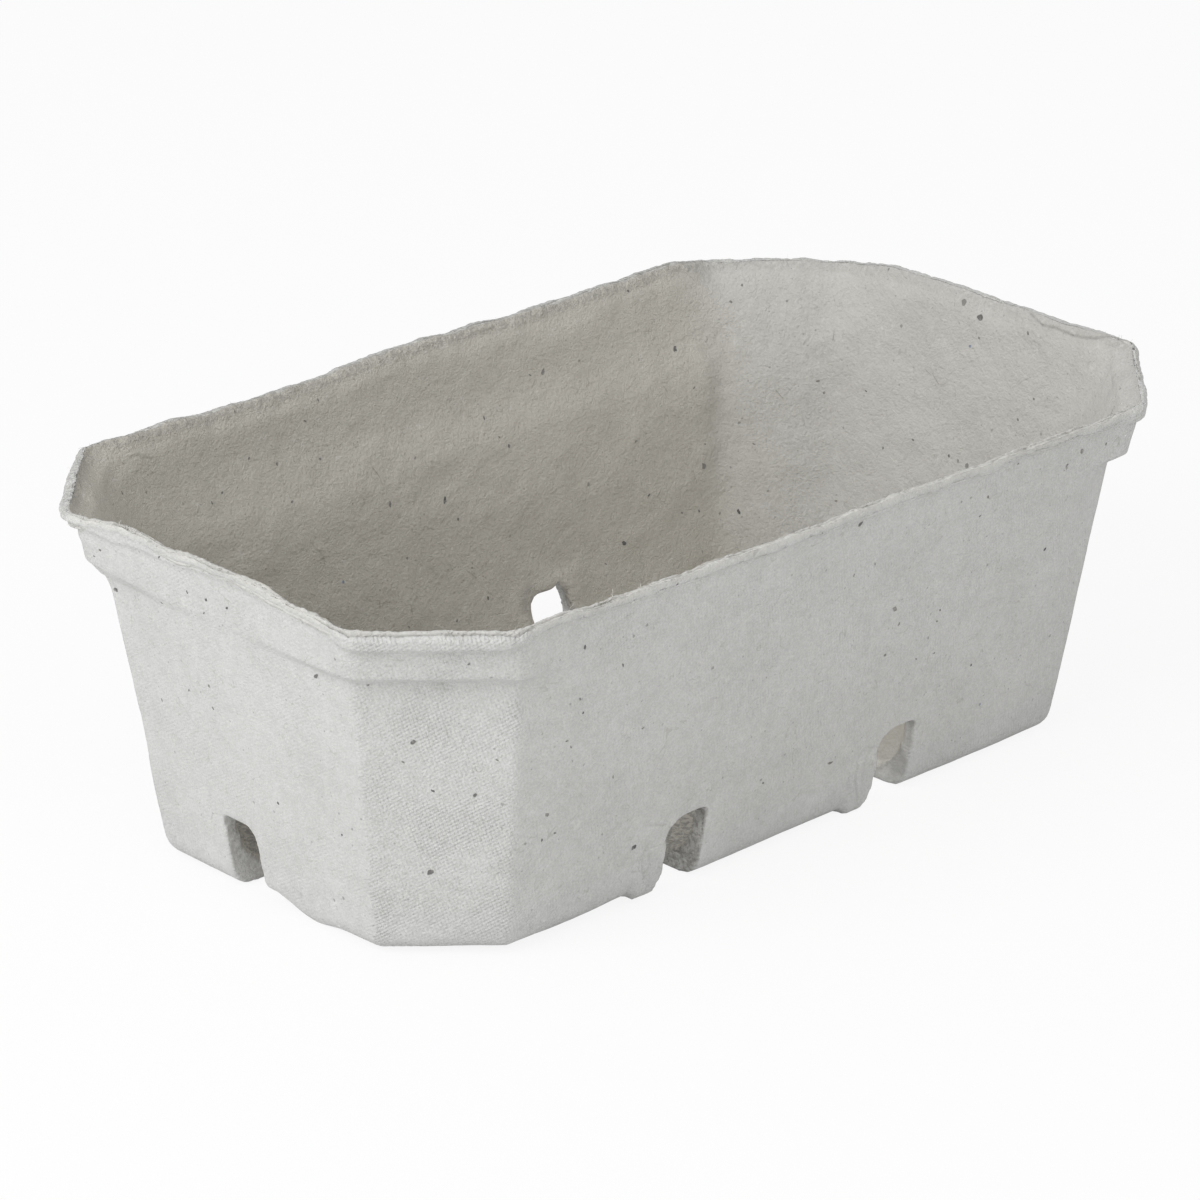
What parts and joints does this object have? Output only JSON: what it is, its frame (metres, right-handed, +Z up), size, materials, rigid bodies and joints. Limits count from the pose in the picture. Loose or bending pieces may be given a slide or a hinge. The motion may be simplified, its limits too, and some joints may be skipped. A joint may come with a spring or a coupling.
{
  "type": "paper fruit punnet",
  "caption": "Oblong moulded pulp tub with cut corners, leaning walls, a stepped collar under a rolled lip and vents through the foot of its walls.",
  "frame": {"origin": "middle of the base, on the surface that the punnet stands on", "axes": "+X along the long sides, +Y across, +Z up towards the open rim"},
  "size_m": [0.19, 0.111, 0.065],
  "materials": {
    "pulp": "dry pale grey moulded pulp, screen-marked outside and felted inside, with dark flecks"
  },
  "bodies": {
    "root": {"punnet": "pulp"}
  },
  "joints": []
}
